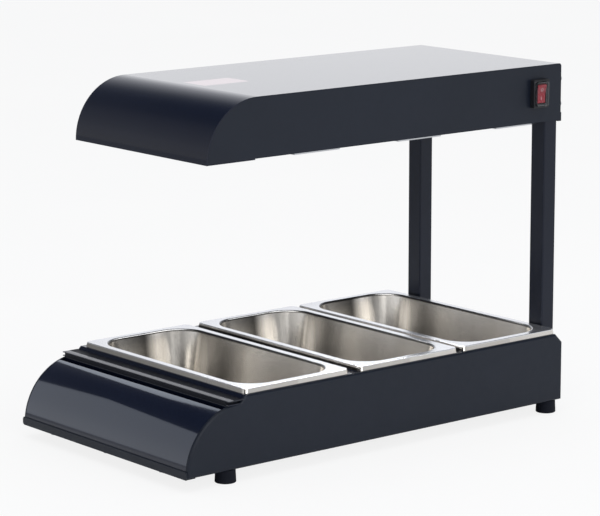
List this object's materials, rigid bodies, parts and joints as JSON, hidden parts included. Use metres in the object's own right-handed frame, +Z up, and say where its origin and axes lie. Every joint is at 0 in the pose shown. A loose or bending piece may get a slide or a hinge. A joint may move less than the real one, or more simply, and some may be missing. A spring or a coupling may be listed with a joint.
{
  "type": "heat lamp food warmer",
  "caption": "Countertop food warmer: a base with a curved front holding lift-out pans, rear posts and a lamp canopy with a curved nose.",
  "frame": {"origin": "centre of the footprint on the floor, under the feet", "axes": "+Z up, -Y towards the curved front, +X towards the side with the switch"},
  "size_m": [0.3374, 0.6424, 0.4436],
  "materials": {
    "painted_panel": "satin dark charcoal powder coat",
    "gloss_panel": "high gloss dark charcoal paint that mirrors its surroundings",
    "painted_post": "satin dark charcoal powder coat",
    "galvanised_sheet": "plain zinc-coated sheet",
    "satin_steel": "satin stainless steel with brighter rims",
    "polished_aluminium": "polished sheet",
    "bright_wire": "bright plated wire",
    "quartz_glass": "clear quartz with a warm tint",
    "lamp_ceramic": "unglazed white ceramic",
    "black_plastic": "fine-grained black plastic",
    "red_plastic": "glossy dark red plastic",
    "clear_plastic": "clear flexible plastic",
    "foot_rubber": "matte black rubber",
    "zinc_fastener": "zinc plated steel",
    "terminal_plastic": "off-white moulded plastic",
    "wire_sleeve": "woven dark sleeve"
  },
  "bodies": {
    "frame": {"base_side_left": "painted_panel", "base_side_right": "painted_panel", "front_shell": "gloss_panel", "front_lip": "painted_panel", "deck": "gloss_panel", "deck_brace_front": "galvanised_sheet", "deck_brace_rear": "galvanised_sheet", "rear_panel": "painted_panel", "bottom_plate": "galvanised_sheet", "foot_front_left": "foot_rubber", "foot_front_right": "foot_rubber", "foot_rear_left": "foot_rubber", "foot_rear_right": "foot_rubber", "foot_screws": "zinc_fastener", "base_screws": "zinc_fastener", "post_left": "painted_post", "post_right": "painted_post", "post_cap_left": "black_plastic", "post_cap_right": "black_plastic", "post_bolts": "zinc_fastener", "canopy_cover": "gloss_panel", "canopy_side_left": "painted_panel", "canopy_side_right": "painted_panel", "canopy_rear_panel": "painted_panel", "canopy_rear_lip": "painted_panel", "canopy_tray": "galvanised_sheet", "canopy_crossbar": "galvanised_sheet", "canopy_screws": "zinc_fastener", "switch_housing": "black_plastic", "switch_cap": "clear_plastic", "cable_gland": "black_plastic", "terminal_block": "terminal_plastic", "wiring_loom": "wire_sleeve", "reflector_front": "polished_aluminium", "lamp_tube_front": "quartz_glass", "lamp_holders_front": "lamp_ceramic", "lamp_guard_front": "bright_wire", "reflector_middle": "polished_aluminium", "lamp_tube_middle": "quartz_glass", "lamp_holders_middle": "lamp_ceramic", "lamp_guard_middle": "bright_wire", "reflector_rear": "polished_aluminium", "lamp_tube_rear": "quartz_glass", "lamp_holders_rear": "lamp_ceramic", "lamp_guard_rear": "bright_wire"},
    "pan_front": {"pan_front": "satin_steel"},
    "pan_middle": {"pan_middle": "satin_steel"},
    "pan_rear": {"pan_rear": "satin_steel"},
    "rocker": {"switch_rocker": "red_plastic"}
  },
  "joints": [
    {"name": "pan_front_lift", "type": "slide", "parent": "frame", "child": "pan_front", "axis": [0, 0, 1], "range_m": [0, 0.075]},
    {"name": "pan_middle_lift", "type": "slide", "parent": "frame", "child": "pan_middle", "axis": [0, 0, 1], "range_m": [0, 0.075]},
    {"name": "pan_rear_lift", "type": "slide", "parent": "frame", "child": "pan_rear", "axis": [0, 0, 1], "range_m": [0, 0.075]},
    {"name": "power_rocker", "type": "hinge", "parent": "frame", "child": "rocker", "pos_m": [0.1342, 0.26625, 0.4086], "axis": [0, -1, 0], "range_deg": [0, 16]}
  ]
}
